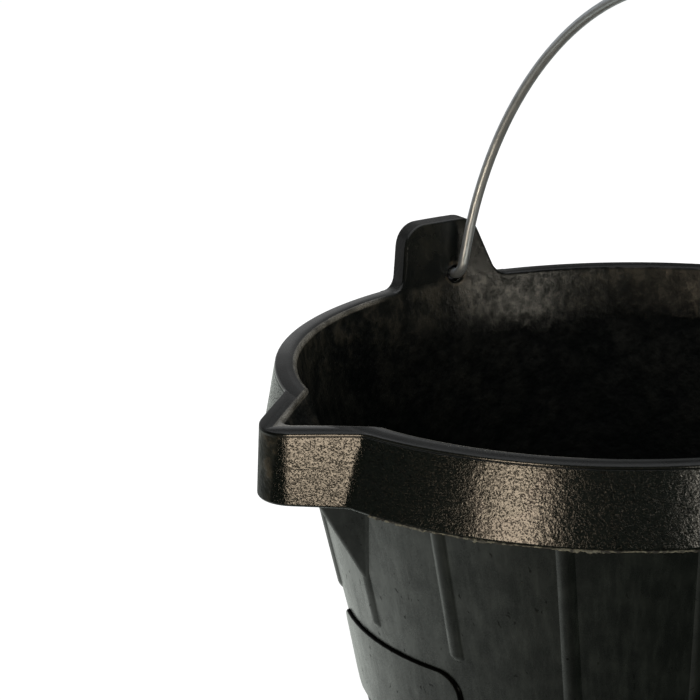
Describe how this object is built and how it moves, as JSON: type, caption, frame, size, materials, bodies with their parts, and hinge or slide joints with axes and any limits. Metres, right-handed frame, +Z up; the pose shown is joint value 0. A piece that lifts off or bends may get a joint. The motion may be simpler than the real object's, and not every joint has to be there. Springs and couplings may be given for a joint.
{
  "type": "builders bucket",
  "caption": "Tapered black rubber builders bucket with a deep turned-down rim, a pouring spout, raised ribs and two ears that carry a swinging wire bail.",
  "frame": {"origin": "centre of the flat underside of the base, on the bucket's axis", "axes": "+Z up along the bucket's axis, -Y towards the pouring spout, +X along the bail's pivot line"},
  "size_m": [0.3452, 0.3536, 0.4432],
  "materials": {
    "rubber": "satin",
    "wire": "dull galvanised"
  },
  "bodies": {
    "bucket": {"bucket_body": "rubber"},
    "bail_wire": {"bail": "wire"}
  },
  "joints": [
    {"name": "bail_swing", "type": "hinge", "parent": "bucket", "child": "bail_wire", "pos_m": [0, 0, 0.2835], "axis": [1, 0, 0], "range_deg": [-77, 103]}
  ]
}
